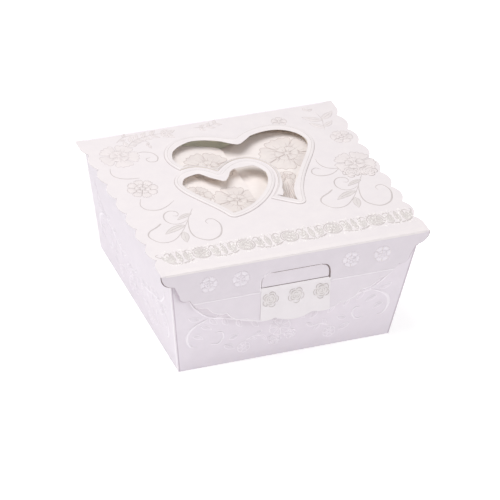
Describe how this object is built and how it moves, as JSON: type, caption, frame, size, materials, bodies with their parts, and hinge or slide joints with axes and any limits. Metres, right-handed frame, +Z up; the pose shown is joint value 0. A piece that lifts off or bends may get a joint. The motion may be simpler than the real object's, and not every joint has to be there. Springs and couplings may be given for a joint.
{
  "type": "wedding card box",
  "caption": "Square flared paperboard box; hinged lid has scalloped sides and two overlapping heart windows, and its front flap ends in a scalloped apron with a lock tab.",
  "frame": {"origin": "centre of the base's underside", "axes": "+Z up, front of the box (lock tab) towards -Y, +X to the right seen from the front"},
  "size_m": [0.1572, 0.1422, 0.0713],
  "materials": {
    "lid_board": "pearl-coated white paperboard with grey-beige embossed print",
    "tray_board": "pearl-coated white paperboard, lightly embossed",
    "flap_board": "pearl-coated white paperboard, lightly embossed",
    "printed_board": "cream paperboard with beige flower print"
  },
  "bodies": {
    "tray": {"bottom_panel": "tray_board", "front_wall": "tray_board", "back_wall": "tray_board", "left_wall": "tray_board", "right_wall": "tray_board", "front_left_glue_flap": "tray_board", "front_right_glue_flap": "tray_board", "back_left_glue_flap": "tray_board", "back_right_glue_flap": "tray_board"},
    "lid": {"lid_panel": "lid_board"},
    "front_flap": {"flap_band": "flap_board"},
    "apron": {"flap_apron": "flap_board"},
    "lock_tab": {"lock_tab": "flap_board"},
    "left_dust_flap": {"left_dust_flap": "printed_board"},
    "right_dust_flap": {"right_dust_flap": "printed_board"}
  },
  "joints": [
    {"name": "lid_crease", "type": "hinge", "parent": "tray", "child": "lid", "pos_m": [0, 0.07, 0.0703], "axis": [-1, 0, 0], "range_deg": [0, 150]},
    {"name": "flap_crease", "type": "hinge", "parent": "lid", "child": "front_flap", "pos_m": [0, -0.0708, 0.0703], "axis": [-1, 0, 0], "range_deg": [0, 100]},
    {"name": "apron_crease", "type": "hinge", "parent": "front_flap", "child": "apron", "pos_m": [0, -0.0708, 0.049], "axis": [-1, 0, 0], "range_deg": [0, 45]},
    {"name": "lock_tab_crease", "type": "hinge", "parent": "front_flap", "child": "lock_tab", "pos_m": [0, -0.0708, 0.0518], "axis": [1, 0, 0], "range_deg": [0, 60]},
    {"name": "left_dust_crease", "type": "hinge", "parent": "tray", "child": "left_dust_flap", "pos_m": [-0.07314, 0, 0.07], "axis": [0, -1, 0], "range_deg": [0, 60]},
    {"name": "right_dust_crease", "type": "hinge", "parent": "tray", "child": "right_dust_flap", "pos_m": [0.07314, 0, 0.07], "axis": [0, 1, 0], "range_deg": [0, 60]}
  ],
  "couplings": [
    {"joint": "left_dust_crease", "follows": "lid_crease", "ratio": 0.4},
    {"joint": "right_dust_crease", "follows": "lid_crease", "ratio": 0.4}
  ]
}
